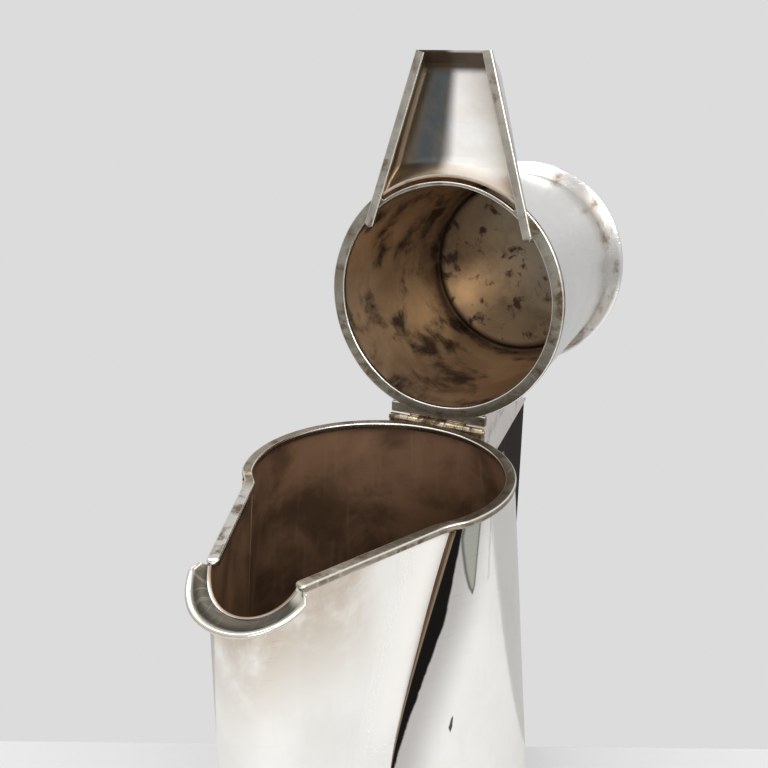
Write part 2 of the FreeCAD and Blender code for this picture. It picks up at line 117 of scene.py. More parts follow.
def loft(name, loops, ring=False, sharp=35, **masks):
    """A closed skin over loops of points, shape (loop, point, 3). Each loop joins the next one by
    four-sided faces; a run that isn't a ring is closed at both ends by joining point i of the
    last loop to point m - 1 - i. Each mask is a number per point, kept as an attribute."""
    n, m, _ = loops.shape
    index = np.arange(n * m).reshape(n, m)
    along = np.roll(index, -1, 0) if ring else index[1:]
    start = index if ring else index[:-1]
    faces = np.stack([start, np.roll(start, -1, 1), np.roll(along, -1, 1), along], -1)
    faces = faces.reshape(-1, 4)
    if not ring:
        half = np.arange(m // 2 - 1)
        cap = np.stack([half, m - 1 - half, m - 2 - half, half + 1], -1)
        faces = np.concatenate([faces, cap, cap[:, ::-1] + (n - 1) * m])
    points = loops.reshape(-1, 3) * MM
    quads = points[faces]
    volume = np.einsum("ij,ij->", quads[:, 0], np.cross(quads[:, 1], quads[:, 2]))
    volume += np.einsum("ij,ij->", quads[:, 0], np.cross(quads[:, 2], quads[:, 3]))
    if volume < 0:
        faces = faces[:, ::-1]
    mesh = bpy.data.meshes.new(name)
    mesh.from_pydata(points.tolist(), [], faces.tolist())
    mesh.polygons.foreach_set("use_smooth", np.ones(len(faces), bool))
    mesh.set_sharp_from_angle(angle=math.radians(sharp))
    for mask, values in masks.items():
        layer = mesh.attributes.new(mask, "FLOAT", "POINT")
        layer.data.foreach_set("value", np.broadcast_to(values, (n, m)).ravel().astype(np.float32))
    piece = bpy.data.objects.new(name, mesh)
    bpy.context.scene.collection.objects.link(piece)
    return piece


def fit(piece, body, slot, material, *nodes):
    """The piece rides on body, stands for the nodes and takes the material."""
    piece.data.materials.append(material)
    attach(piece, body)
    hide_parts(*nodes)
    return piece


def flow(x, *waves):
    """A slow unevenness of handwork: a sum of sines, each (size, frequency, phase)."""
    return sum(size * np.sin(rate * x + phase) for size, rate, phase in waves)


# ---- body -------------------------------------------------------------------------------
def body_radius(z):
    return body_radius_top + body_taper * (rim_height - z)


def spout_half_y(x, offset):
    return (side_distance + offset - x * math.sin(spout_angle)) / math.cos(spout_angle)


def crease_angle(z):
    """Angle from the spout's direction of the seam: where the cone meets the spout's side plane,
    asin(distance of the plane / radius) less the plane's own angle, and higher up swung back."""
    meet = np.arcsin(side_distance / body_radius(z)) - spout_angle
    share = np.clip((z - seam_low) / (rim_height - seam_low), 0, None)
    return meet + seam_swing * share ** seam_curl


def up_and_down(low, high, count):
    """Heights of a sheet's loop: up its outside, then down its inside, with both offsets."""
    rise = np.linspace(low, high, count)
    return np.concatenate([rise, rise[::-1]])


def body_shell():
    """Cone wall from one spout seam round the back to the other. Point (u, v): the angle runs
    from the seam's angle at that height to its mirror image, the radius is the cone's; close to
    the seam the wall is thick enough to reach the spout's flat side. The masks are distances
    to the borders of the painted shadow and painted reflections, far off where there is none."""
    z = up_and_down(foot_height, rim_height - rim_thickness + 0.05, sheet_rows)
    inside = np.repeat([0.0, 1.0], sheet_rows)
    t = np.linspace(0, 1, 25) ** 2 * 0.06
    u = np.concatenate([t, np.linspace(0.06, 0.94, 200)[1:-1], 1 - t[::-1]])[:, None]
    crease = crease_angle(z)
    angle = crease + u * (TURN - 2 * crease)
    edge = np.minimum(angle - crease, TURN - crease - angle) * body_radius(z)
    proud = body_radius(z) * np.sin(crease + spout_angle) - side_distance
    wall = body_wall + np.clip(proud + 0.2, 0, None) * smooth(2.2, 0.6, edge)
    radius = body_radius(z) - wall * inside
    radius = radius + flow(angle * 5 + z / 30, (0.02, 1, 0), (0.015, 2.3, 1)) * (1 - inside)
    loops = np.stack([-radius * np.cos(angle), -radius * np.sin(angle),
                      np.broadcast_to(z, angle.shape)], -1)
    shadow = np.interp(z, *shadow_border)
    left = np.interp(z, *flame_left_border)
    right_side = np.interp(z, *flame_right_border)
    line = np.interp(z, *line_place)
    other_side = np.where(angle < math.pi, 0.0, far_off)
    off = other_side + np.clip(painted_reflection_foot - z, 0, None)
    mark = np.hypot((edge - mark_place[0]) / mark_half[0], (z - mark_place[1]) / mark_half[1])
    return loft("body_shell", loops, inside=inside, edge=edge + inside, shadow=shadow - edge,
                flame_left=edge - left - off, flame_right=right_side - edge - off,
                line=np.abs(edge - line) + off, mark=mark + other_side)


def lip_height(angle):
    """Top of the lip at an angle round the nose: full height where the sides begin, dipping to
    the front as 1 less the square of the angle's share, raised to a curl."""
    share = np.clip(1 - (angle / (math.pi / 2 - spout_angle)) ** 2, 0, None)
    return strip_top - lip_clearance - lip_drop * share ** lip_curl


def spout_path(offset, z, share):
    """Plan of the bent sheet at heights z: share 0 to 1 runs along the left side, round the nose
    and back along the right side. Returns x forward of the axis and y."""
    radius = nose_radius + offset
    touch_angle = math.pi / 2 - spout_angle
    touch_x = nose_x + radius * math.cos(touch_angle)
    start_x = body_radius(z) * np.cos(crease_angle(z)) - seam_lap * 0.8
    side = np.clip(np.minimum(share, 1 - share) / (0.5 - nose_share), 0, 1)
    line_x = start_x + side * (touch_x - start_x)
    turn = touch_angle * (share - 0.5) / nose_share
    on_nose = np.abs(share - 0.5) <= nose_share + 1e-9
    x = np.where(on_nose, nose_x + radius * np.cos(turn), line_x)
    on_side = np.sign(share - 0.5) * spout_half_y(line_x, offset)
    y = np.where(on_nose, radius * np.sin(turn), on_side)
    return x, y


def spout_shell():
    """Two flat sides and a round nose. Point (u, v): the plan path at share u, at a height that
    runs from the foot to the strip's or the lip's underside."""
    low, high = 0.5 - nose_share, 0.5 + nose_share
    share = np.concatenate([np.linspace(0, low, 50), np.linspace(low, high, 61)[1:],
                            np.linspace(high, 1, 50)[1:]])[:, None]
    rise = up_and_down(0, 1, sheet_rows)
    inside = np.repeat([0.0, 1.0], sheet_rows)
    round_nose = (math.pi / 2 - spout_angle) * np.clip((share - 0.5) / nose_share, -1, 1)
    top = np.where(np.abs(share - 0.5) < nose_share - 0.001, lip_height(round_nose) - 0.05,
                   strip_top - strip_thickness + 0.05)
    z = foot_height + (top - foot_height) * rise
    x_out, y_out = spout_path(0.0, z, share)
    x_in, y_in = spout_path(-body_wall, z, share)
    x = np.where(inside > 0, x_in, x_out)
    y = np.where(inside > 0, y_in, y_out)
    dent = flow(x / 9 + z / 23, (0.05, 1, 0.4), (0.03, 2.1, 2)) * np.sin(np.pi * rise)
    y = y + np.sign(y) * dent * (np.abs(y) > 8)
    loops = np.stack([-x, y, z], -1)
    start_x = body_radius(z) * np.cos(crease_angle(z))
    return loft("spout_shell", loops, inside=inside, edge=far_off, shadow=-far_off,
                flame_left=-far_off, flame_right=-far_off, line=far_off, mark=far_off,
                # the next mask places a painted pale reflection on the spout's outside near the
                # upper seam
                veil=smooth(15, 3.5, x - start_x) * smooth(84, 100, z) * (1 - inside),
                lip=smooth(38, 0, top - z) * smooth(40, 52, x))


# a bar's section: round a rectangle with round corners, six points to a corner
bar_turn = np.concatenate([np.linspace(0, math.pi / 2, 6) + k * math.pi / 2 for k in range(4)])
bar_outer = np.repeat([True, False, False, True], 6)
bar_upper = np.repeat([True, True, False, False], 6)
bar_wear = np.abs(np.sin(2 * bar_turn))


def round_bar(inner, outer, z0, z1, corner, count):
    """A bar of the section above, carried all round the axis. Its inner and outer radius are
    functions of the angle from the spout's direction. Returns its loops and their wear."""
    angle = np.linspace(0, TURN, count, endpoint=False)[:, None]
    r = np.where(bar_outer, outer(angle) - corner, inner(angle) + corner)
    r = r + corner * np.cos(bar_turn)
    z = np.where(bar_upper, z1 - corner, z0 + corner) + corner * np.sin(bar_turn)
    loops = np.stack([-r * np.cos(angle), -r * np.sin(angle), z + 0 * angle], -1)
    return loops, np.broadcast_to(bar_wear, r.shape)


def straight_bar(start, stop, side, z0, z1, corner, count):
    """A bar of the section above from start to stop in plan; side is the unit vector across it
    and the two widths along it: (vector, low, high). Returns its loops and their wear."""
    across, low, high = side
    w = np.where(bar_outer, high - corner, low + corner) + corner * np.cos(bar_turn)
    z = np.where(bar_upper, z1 - corner, z0 + corner) + corner * np.sin(bar_turn)
    t = np.linspace(0, 1, count)[:, None, None]
    base = np.array(start) + t * (np.array(stop) - np.array(start))
    plan = base + w[None, :, None] * np.array(across)
    loops = np.concatenate([plan, np.broadcast_to(z[None, :, None], plan.shape[:2] + (1,))], -1)
    return loops, np.broadcast_to(bar_wear, loops.shape[:2])


def knobbed(loops, from_end, reach):
    """Sections drawn in to their middle near an end, as a quarter circle of radius reach falls
    off; from_end is each section's distance from the end."""
    fall = 1 - np.clip(from_end / reach, 0, 1)
    size = np.sqrt(np.clip(1 - fall ** 2, 0.03, 1))[:, None, None]
    middle = loops.mean(1, keepdims=True)
    return middle + (loops - middle) * size


def mouth_line(radius, offset, forward):
    """Half-width of the mouth wire's line at a distance in front of the axis: the ring's circle
    further back, the spout's side line further forward, with an easy bend between."""
    on_ring = np.sqrt(np.clip(radius ** 2 - forward ** 2, 0, None))
    share = smooth(bend_low, bend_high, forward)
    return on_ring + share * (spout_half_y(forward, offset) - on_ring)


def mouth_wire():
    """One wire: along the left strip to the lip's edge, round the back as a ring, and along the
    right strip. At each station the section lies between an outer and an inner point."""
    reach = (nose_radius + strip_outset) * math.sin(spout_angle) - 0.6
    run = np.linspace(nose_x + reach, ring_end_x, 150)
    outer, inner = run + wire_lean, run - wire_lean
    outer_y = mouth_line(rim_radius, strip_outset, outer)
    inner_y = mouth_line(rim_radius - rim_width, strip_outset - rim_width, inner)
    left = np.stack([np.stack([-outer, -outer_y], -1), np.stack([-inner, -inner_y], -1)])
    begin = math.acos(ring_end_x / (rim_radius - rim_width / 2))
    angle = np.linspace(begin, TURN - begin, 262)[1:-1]
    spoke = np.stack([-np.cos(angle), -np.sin(angle)], -1)
    uneven = flow(angle, (0.05, 5, 0), (0.03, 11, 1))[:, None]
    ring = np.stack([spoke * (rim_radius - 0.04), spoke * (rim_radius - rim_width + uneven)])
    plan = np.concatenate([left, ring, left[:, ::-1] * (1, -1)], 1)
    count = plan.shape[1]
    forward = -plan.mean(0)[:, 0]
    far = np.arange(count) > count / 2
    top = rim_height - strip_drop * np.where(far, smooth(step_low, step_high, forward),
                                             smooth(bend_low, bend_high, forward))
    corner = wire_corner / rim_width
    w = np.where(bar_outer, 1 - corner, corner) + corner * np.cos(bar_turn)
    h = np.where(bar_upper, -wire_corner, wire_corner - rim_thickness)
    h = h + wire_corner * np.sin(bar_turn)
    loops = plan[1][:, None] + w[None, :, None] * (plan[0] - plan[1])[:, None]
    loops = np.concatenate([loops, (top[:, None] + h)[:, :, None]], -1)
    from_end = np.minimum(np.arange(count), np.arange(count)[::-1]) * (run[0] - run[1])
    loops = knobbed(loops, from_end, wire_end)
    strip = smooth(22, 30, forward)[:, None]
    hinge_side = smooth(-32, -37, forward)[:, None]
    wear = bar_wear * np.where(np.sin(bar_turn) > -0.2, 1, 0.4)
    return loft("mouth_wire", loops, wear=wear, strip=strip, far=far[:, None] * strip,
                hinged=hinge_side)


def pouring_lip():
    """Lip round the nose. At each angle the section runs from the sheet outwards through a
    shallow channel to a round bead; both ends are rounded off."""
    half = math.pi / 2 - spout_angle
    share = np.sin(np.linspace(-math.pi / 2, math.pi / 2, 141))[:, None]
    angle = share * half
    forward = np.cos(angle)
    ends = smooth(0, 0.07, 1 - np.abs(share))
    inner = nose_radius - body_wall * 0.9
    outer = nose_radius + lip_side_reach + (lip_front_reach - lip_side_reach) * forward
    outer = outer - 1.6 * (1 - ends)
    t = np.linspace(0, 1, 22)
    top_r = inner + t * (outer - lip_bead - inner)
    bowl = np.sin(np.pi * np.clip(t / 0.9, 0, 1)) ** 1.2
    level = lip_height(angle) - 0.12 + flow(angle * 3, (0.05, 1.7, 0), (0.04, 3.1, 1))
    top_z = level - lip_channel * 1.2 * bowl * (0.35 + 0.65 * forward)
    bead = np.linspace(math.pi / 2, -math.pi / 2, 9)[1:-1]
    bead_r = outer - lip_bead + lip_bead * np.cos(bead)
    bead_z = level - lip_bead + lip_bead * np.sin(bead)
    under_z = level - lip_channel * bowl * forward - lip_thickness
    radius = np.concatenate([top_r, bead_r, top_r[:, ::-1]], 1)
    z = np.concatenate([top_z, bead_z, under_z[:, ::-1]], 1)
    loops = np.stack([-nose_x - radius * forward, radius * np.sin(angle), z], -1)
    wear = np.concatenate([smooth(0.93, 1, t), np.ones(len(bead)), t[::-1] ** 6])
    near_end = smooth(-0.80, -0.97, share)
    return loft("pouring_lip_crescent", loops, wear=np.maximum(wear, near_end),
                channel=np.concatenate([bowl, np.zeros(len(bead) + len(t))]) * (1 - near_end))


# ---- lid, shut, then turned open --------------------------------------------------------
def lid_radius(height):
    return lid_radius_bottom + (lid_radius_top - lid_radius_bottom) * height / lid_neck


def turned(name, radius, height, **masks):
    """A closed outline of (radius, height over the lid's ring plane), turned round the axis."""
    angle = np.linspace(0, TURN, 256, endpoint=False)[:, None]
    r, h = np.array(radius, float), np.array(height, float)
    loops = np.stack([-r * np.cos(angle), -r * np.sin(angle), ring_plane + h + 0 * angle], -1)
    return loft(name, opened(loops), True, **masks)


def lid_tube():
    height = up_and_down(ring_thickness * 0.4, lid_neck, 50)
    inside = np.repeat([0.0, 1.0], 50)
    return turned("lid_tube", lid_radius(height) - lid_wall * inside, height, inside=inside)


def lid_crown():
    """Flared collar: a concave flare up to a bead-edged upright band."""
    base = lid_neck
    t = np.linspace(0, 1, 16)
    flare_r = lid_radius_top + (collar_radius - 0.4 - lid_radius_top) * t ** 1.25
    flare_h = base + collar_height * t
    top = base + collar_height + collar_edge
    edge_r = [collar_radius, collar_radius, collar_radius - 0.5, collar_radius - 1.4]
    edge_h = [base + collar_height + 0.3, top - 0.4, top, top]
    inner_r = [collar_radius - 2.2, lid_radius_top - lid_wall, lid_radius_top - lid_wall]
    inner_h = [top - 0.9, top - 0.9, base]
    radius = np.concatenate([flare_r, edge_r, inner_r])
    height = np.concatenate([flare_h, edge_h, inner_h])
    wear = np.concatenate([smooth(0.8, 1, t), [1, 1, 1, 0.5], [0.2, 0, 0]])
    return turned("lid_crown", radius, height, wear=wear)


def lid_lining():
    """Lining disc: flat face, a groove near its edge, then the wall; slightly dished."""
    outer = lid_radius(disc_height) - lid_wall
    t = np.linspace(0.004, 1, 30)
    face_r = (outer - 1.5) * t
    face_h = disc_height + 0.35 * (1 - t ** 2)
    edge_r = [outer - 1.1, outer - 0.9, outer - 0.7, outer - 0.1, outer - 0.1, 0.1]
    edge_h = [disc_height + 0.1, disc_height + 0.6, disc_height + 0.75, disc_height + 0.75,
              disc_height + 0.8, disc_height + 0.8]
    radius = np.concatenate([face_r, edge_r])
    height = np.concatenate([face_h, edge_h])
    groove = np.concatenate([smooth(0.93, 1, t), [1, 1, 1, 0.6, 0, 0]])
    return turned("lid_lining", radius, height, groove=groove)


def cover_half(x, offset=0.0):
    """Half-width of the spout cover at x forward of the axis, its side lines moved in."""
    slope = (cover_root_half - cover_tip_half) / (cover_tip_x - cover_root_x)
    return cover_tip_half + slope * (cover_tip_x - x) - offset * math.hypot(1, slope)


def lid_ring():
    """Flat ring, cut back to a thin edge between the cover's strips."""
    forward = 30.0
    gap = math.atan2(cover_half(forward, cover_strip_width), forward)

    def outer(angle):
        off = np.abs((angle + math.pi) % TURN - math.pi)
        full = ring_radius + flow(angle, (0.04, 7, 0), (0.03, 13, 2))
        thin = ring_radius - ring_width + cover_ring_edge
        return thin + (full - thin) * smooth(gap - 0.02, gap + 0.02, off)

    def inner(angle):
        return ring_radius - ring_width + flow(angle, (0.05, 4, 0), (0.05, 9, 1))

    loops, wear = round_bar(inner, outer, ring_plane, ring_plane + ring_thickness, 0.45, 320)
    return loft("lid_ring_wire", opened(loops), True, wear=wear)


def lid_tab():
    """Straight bar of the ring over the hinge."""
    loops, wear = straight_bar((0, -tab_half), (0, tab_half), ((1, 0), tab_root_x, tab_edge_x),
                               ring_plane + 0.02, ring_plane + ring_thickness, 0.4, 50)
    return loft("lid_tab", opened(loops), wear=wear)


def cover_trough():
    """Pressed sheet over the spout. Across it the section is a wide U with rounded corners, up
    one side, along the roof and down the other; along it the U narrows with the side lines, and
    its depth falls to nothing over the sloping end wall. The outside is the same U, one sheet
    thickness larger."""
    along = np.concatenate([np.linspace(0, 0.86, 50), np.linspace(0.86, 1, 26)[1:]])[:, None]
    side = np.linspace(0, 1, 8)[:-1]
    bend = np.linspace(0, math.pi / 2, 9)
    roof = np.linspace(-1, 1, 30)[1:-1]

    def half_u(depth, half):
        """Points (y, z) of the U for each depth and half-width."""
        r = np.minimum(trough_corner, depth * 0.8)
        left_y = np.concatenate([-half + 0 * side, -half + r - r * np.cos(bend)], 1)
        left_z = np.concatenate([side * (depth - r), depth - r + r * np.sin(bend)], 1)
        roof_y = roof * (half - r)
        roof_z = depth + 0 * roof
        return (np.concatenate([left_y, roof_y, -left_y[:, ::-1]], 1),
                np.concatenate([left_z, roof_z, left_z[:, ::-1]], 1))

    tip = cover_tip_x - 0.5
    x = trough_start_x + along * (tip - trough_start_x)
    depth = np.minimum(cover_depth, (tip - x) * cover_depth / cover_slope + 0.05)
    past_roof = x - (tip - cover_slope)
    knee = smooth(-1.5, 0, past_roof) * smooth(1.5, 0, past_roof)
    depth = depth - 0.35 * knee
    depth = trough_start_depth + (depth - trough_start_depth) * smooth(35.0, 42.5, x)
    in_y, in_z = half_u(depth, cover_half(x, cover_margin + cover_wall))
    out_y, out_z = half_u(depth + cover_wall * 0.95, cover_half(x, cover_margin))
    y = np.concatenate([out_y, in_y[:, ::-1]], 1)
    z = np.concatenate([out_z, in_z[:, ::-1]], 1)
    start = np.sqrt(np.clip(lid_radius(z) ** 2 - y ** 2, 4.0, None)) - lid_wall * 0.5
    plan_x = start + (x - trough_start_x) / (tip - trough_start_x) * (tip - start)
    loops = np.stack([-plan_x, y, ring_plane + z], -1)
    inside = np.repeat([0.0, 1.0], out_y.shape[1])
    rise = z / (depth + 1e-6)
    return loft("cover_trough", opened(loops), sharp=40, inside=inside,
                side=smooth(0.97, 0.6, rise) * inside, split=y / cover_half(x),
                root=smooth(42, 36.5, x) * inside,
                end=smooth(-2.2, 0.3, past_roof) * smooth(-0.3, -0.9, x - tip) * inside)


def cover_strip(side):
    """Flat strip along one side edge of the cover."""
    slope = (cover_root_half - cover_tip_half) / (cover_tip_x - cover_root_x)
    norm = math.hypot(1, slope)
    across = (-slope / norm, side / norm)
    start, stop = cover_strip_root_x + 0.1, cover_tip_x - 0.4
    loops, wear = straight_bar((-start, side * cover_half(start)), (-stop, side * cover_half(stop)),
                               (across, -cover_strip_width, -0.02), ring_plane - strip_drop,
                               ring_plane - strip_drop + cover_strip_thickness, 0.4, 60)
    loops = knobbed(loops, np.arange(len(loops)), 1.4)
    return loft("cover_edge_" + ("right" if side > 0 else "left"), opened(loops), wear=wear)


# ---- node helpers -----------------------------------------------------------------------
def add(tree, kind, inputs=None, **settings):
    """A node; each of its inputs is given a value or another node's output."""
    made = tree.nodes.new("ShaderNode" + kind)
    for key, value in settings.items():
        setattr(made, key, value)
    for key, value in (inputs or {}).items():
        socket = made.inputs[key]
        if isinstance(value, bpy.types.NodeSocket):
            tree.links.new(value, socket)
        else:
            socket.default_value = value
    return made


def calc(tree, operation, a, b=0.0, clamp=False):
    """Arithmetic on two numbers or outputs."""
    return add(tree, "Math", {0: a, 1: b}, operation=operation, use_clamp=clamp).outputs[0]


def blend(tree, share, a, b):
    """The colour a where share is 0, b where it is 1."""
    made = add(tree, "Mix", data_type="RGBA")
    for socket, value in ((made.inputs[0], share), (made.inputs[6], a), (made.inputs[7], b)):
        if isinstance(value, bpy.types.NodeSocket):
            tree.links.new(value, socket)
        elif isinstance(value, tuple):
            socket.default_value = value + (1.0,)
        else:
            socket.default_value = value
    return made.outputs[2]


def lerp(tree, share, a, b):
    """The number a where share is 0, b where it is 1."""
    return add(tree, "MapRange", {"Value": share, "To Min": a, "To Max": b}).outputs[0]


def group(name, inputs, outputs):
    """An empty shader group with its named sockets; returns tree, input node and output node."""
    tree = bpy.data.node_groups.new(name, "ShaderNodeTree")
    for label, kind, value in inputs:
        socket = tree.interface.new_socket(label, in_out="INPUT", socket_type="NodeSocket" + kind)
        if value is not None:
            socket.default_value = value
    for label, kind in outputs:
        tree.interface.new_socket(label, in_out="OUTPUT", socket_type="NodeSocket" + kind)
    return tree, tree.nodes.new("NodeGroupInput"), tree.nodes.new("NodeGroupOutput")


def patches_group():
    """Cloudy patches with ragged borders: noise, bent by itself, cut at a height set by Amount."""
    tree, given, result = group("patches", [("Vector", "Vector", None), ("Scale", "Float", 60.0),
                                ("Amount", "Float", 0.3), ("Softness", "Float", 0.2),
                                ("Seed", "Float", 0.0)], [("Mask", "Float")])
    noise = add(tree, "TexNoise", {"Vector": given.outputs["Vector"], "W": given.outputs["Seed"],
                "Scale": given.outputs["Scale"], "Detail": 7.0, "Roughness": 0.62,
                "Distortion": 0.35}, noise_dimensions="4D")
    middle = calc(tree, "SUBTRACT", 0.68, calc(tree, "MULTIPLY", given.outputs["Amount"], 0.36))
    low = calc(tree, "SUBTRACT", middle, given.outputs["Softness"])
    high = calc(tree, "ADD", middle, given.outputs["Softness"])
    mask = add(tree, "MapRange", {"Value": noise.outputs[0], "From Min": low, "From Max": high},
               interpolation_type="SMOOTHSTEP")
    tree.links.new(mask.outputs[0], result.inputs["Mask"])
    return tree


def hairlines_group():
    """Fine scratches in two directions: long thin noise, kept only at its crests."""
    tree, given, result = group("hairlines", [("Vector", "Vector", None),
                                ("Density", "Float", 0.5)], [("Mask", "Float")])
    found = []
    for turn, stretch in (((0.2, 0.1, 0.3), (900, 60, 60)), ((0.1, 1.2, 0.9), (80, 80, 1400)),
                          ((0.9, 0.3, 1.8), (60, 1100, 90))):
        place = add(tree, "Mapping", {"Vector": given.outputs["Vector"], "Rotation": turn,
                    "Scale": stretch})
        noise = add(tree, "TexNoise", {"Vector": place.outputs[0], "Scale": 1.0, "Detail": 2.0})
        crest = add(tree, "MapRange", {"Value": noise.outputs[0], "From Min": 0.60,
                    "From Max": 0.74})
        found.append(crest.outputs[0])
    both = calc(tree, "MAXIMUM", calc(tree, "MAXIMUM", found[0], found[1]), found[2])
    shown = calc(tree, "MULTIPLY", both, given.outputs["Density"], True)
    tree.links.new(shown, result.inputs["Mask"])
    return tree


def streaks_group():
    """Long runs down a wall: noise stretched along one direction."""
    tree, given, result = group("streaks", [("Vector", "Vector", None),
                                ("Stretch", "Vector", (300, 300, 12)), ("Amount", "Float", 0.4)],
                                [("Mask", "Float")])
    place = add(tree, "Mapping", {"Vector": given.outputs["Vector"],
                "Scale": given.outputs["Stretch"]})
    noise = add(tree, "TexNoise", {"Vector": place.outputs[0], "Scale": 1.0, "Detail": 4.0})
    middle = calc(tree, "SUBTRACT", 0.72, calc(tree, "MULTIPLY", given.outputs["Amount"], 0.4))
    mask = add(tree, "MapRange", {"Value": noise.outputs[0], "From Min": middle,
               "From Max": calc(tree, "ADD", middle, 0.16)})
    tree.links.new(mask.outputs[0], result.inputs["Mask"])
    return tree


patches_tree = patches_group()
hairlines_tree = hairlines_group()
streaks_tree = streaks_group()


class Finish:
    """A metal finish built up in layers. Each layer mixes a colour, a roughness and a metallic
    share over what lies below, through a mask."""

    def __init__(self, name, colour, rough, metallic=1.0):
        self.material = bpy.data.materials.new(name)
        self.material.use_nodes = True
        self.tree = self.material.node_tree
        self.shader = self.tree.nodes["Principled BSDF"]
        self.place = add(self.tree, "TexCoord").outputs["Object"]
        self.colour, self.rough, self.metallic = colour, rough, metallic
        self.height = None

    def attribute(self, name):
        return add(self.tree, "Attribute", attribute_name=name).outputs["Fac"]

    def patches(self, scale, amount, softness=0.12, seed=0.0):
        made = add(self.tree, "Group", node_tree=patches_tree)
        self.tree.links.new(self.place, made.inputs["Vector"])
        for key, value in (("Scale", scale), ("Amount", amount), ("Softness", softness),
                           ("Seed", seed)):
            made.inputs[key].default_value = value
        return made.outputs["Mask"]

    def hairlines(self, density):
        made = add(self.tree, "Group", node_tree=hairlines_tree)
        self.tree.links.new(self.place, made.inputs["Vector"])
        made.inputs["Density"].default_value = density
        return made.outputs["Mask"]

    def streaks(self, stretch, amount):
        made = add(self.tree, "Group", node_tree=streaks_tree)
        self.tree.links.new(self.place, made.inputs["Vector"])
        made.inputs["Stretch"].default_value = stretch
        made.inputs["Amount"].default_value = amount
        return made.outputs["Mask"]

    def step(self, value, low, high):
        """0 where value is under low, 1 where it is over high."""
        return add(self.tree, "MapRange", {"Value": value, "From Min": low, "From Max": high},
                   interpolation_type="SMOOTHSTEP").outputs[0]

    def times(self, a, b):
        return calc(self.tree, "MULTIPLY", a, b, True)

    def layer(self, mask, colour, rough=None, metallic=None):
        self.colour = blend(self.tree, mask, self.colour, colour)
        if rough is not None:
            self.rough = lerp(self.tree, mask, self.rough, rough)
        if metallic is not None:
            self.metallic = lerp(self.tree, mask, self.metallic, metallic)
        return self

    def relief(self, mask, strength):
        """Adds a mask times strength to the bump height."""
        part = calc(self.tree, "MULTIPLY", mask, strength)
        self.height = part if self.height is None else calc(self.tree, "ADD", self.height, part)
        return self

    def done(self, distance=0.0002, strength=0.5):
        for socket, value in (("Base Color", self.colour), ("Roughness", self.rough),
                              ("Metallic", self.metallic)):
            if isinstance(value, bpy.types.NodeSocket):
                self.tree.links.new(value, self.shader.inputs[socket])
            else:
                self.shader.inputs[socket].default_value = (
                    value + (1.0,) if isinstance(value, tuple) else value)
        if self.height is not None:
            bump = add(self.tree, "Bump", {"Height": self.height, "Distance": distance,
                       "Strength": strength})
            self.tree.links.new(bump.outputs[0], self.shader.inputs["Normal"])
        return self.material


# ---- finishes ---------------------------------------------------------------------------
bright, warm, smoke = (0.94, 0.935, 0.91), (0.90, 0.875, 0.82), (0.55, 0.46, 0.36)
# the first colour is the near-black of the painted shadow sliver beside the body's seams
painted_shadow_black, coffee = (0.010, 0.009, 0.008), (0.20, 0.118, 0.062)


def coffee_stains(finish, inside):
    """Stains over the brown film coffee leaves: reddish and dark patches with faint runs."""
    reddish = finish.times(finish.patches(18, 0.55, 0.16, 3.0), inside)
    finish.layer(reddish, (0.30, 0.165, 0.095), 0.5)
    dark = finish.times(finish.patches(40, 0.4, 0.14, 5.0), inside)
    finish.layer(dark, (0.10, 0.058, 0.033), 0.4)
    finish.layer(finish.times(finish.times(finish.streaks((300, 300, 9), 0.4), inside), 0.4),
                 (0.32, 0.21, 0.14), 0.4)
    return finish


def floor_silver():
    return coffee_stains(Finish("coffee_stained_floor", coffee, 0.45, 0.35), 1.0).done()


def body_silver():
    finish = Finish("polished_silver_body", bright, 0.12)
    inside, lip, edge = (finish.attribute(n) for n in ("inside", "lip", "edge"))
    shadow, line, mark = (finish.attribute(n) for n in ("shadow", "line", "mark"))
    left, right_side = finish.attribute("flame_left"), finish.attribute("flame_right")
    finish.layer(finish.times(finish.patches(18, 0.5, 0.2), 0.8), warm, 0.16)
    finish.layer(finish.times(finish.patches(38, 0.3, 0.12, 2.0), 0.12), smoke, 0.22)
    finish.layer(finish.times(finish.times(finish.patches(60, 0.75, 0.14, 4.0), lip), 0.7),
                 (0.46, 0.35, 0.23), 0.3)
    hair = finish.hairlines(0.55)
    finish.layer(finish.times(hair, 0.25), (0.75, 0.72, 0.68), 0.3)
    # painted reflection: a pale matte, non-metallic patch on the spout's outside near the upper
    # seam
    finish.layer(finish.attribute("veil"), (0.79, 0.77, 0.73), 0.5, 0.0)
    # painted reflection: a broad grey band on the body beside each seam, fading out about 15 mm
    # away
    finish.layer(finish.times(finish.step(shadow, -15.0, -1.0), 0.85), (0.43, 0.41, 0.39), 0.2)
    # painted reflection: a grey-green patch high on the body beside one seam, with near-black
    # painted edges
    flame = finish.times(finish.step(left, -0.4, 0.6), finish.step(right_side, -0.3, 0.5))
    finish.layer(flame, (0.40, 0.41, 0.36), 0.2)
    for side, low, high in ((left, 1.5, 0.2), (right_side, 0.9, 0.1)):
        border = finish.times(flame, finish.step(side, low, high))
        finish.layer(finish.times(border, 0.85), (0.07, 0.065, 0.06), 0.3)
    # painted reflection: a thin grey line high on the body beside one seam
    finish.layer(finish.times(finish.step(line, 0.7, 0.0), 0.55), (0.42, 0.42, 0.42), 0.25)
    # painted reflection: a small dark spot on the body beside one seam
    finish.layer(finish.step(mark, 1.2, 0.8), (0.09, 0.085, 0.09), 0.3)
    # painted shadow: a ragged near-black sliver on the body beside each seam, widest high up
    ragged = calc(finish.tree, "MULTIPLY_ADD", finish.patches(160, 0.5, 0.3, 3.5), 0.6)
    painted_shadow_sliver = finish.step(calc(finish.tree, "ADD", shadow, ragged), 0.2, 0.9)
    finish.layer(painted_shadow_sliver, painted_shadow_black, 0.5, 1.0)
    finish.layer(finish.step(edge, 0.4, 0.1), (0.30, 0.22, 0.145), 0.4)
    finish.layer(inside, coffee, 0.45, 0.35)
    coffee_stains(finish, inside)
    finish.relief(hair, -0.25).relief(finish.patches(9, 0.5, 0.4, 8.0), 0.6)
    return finish.done()


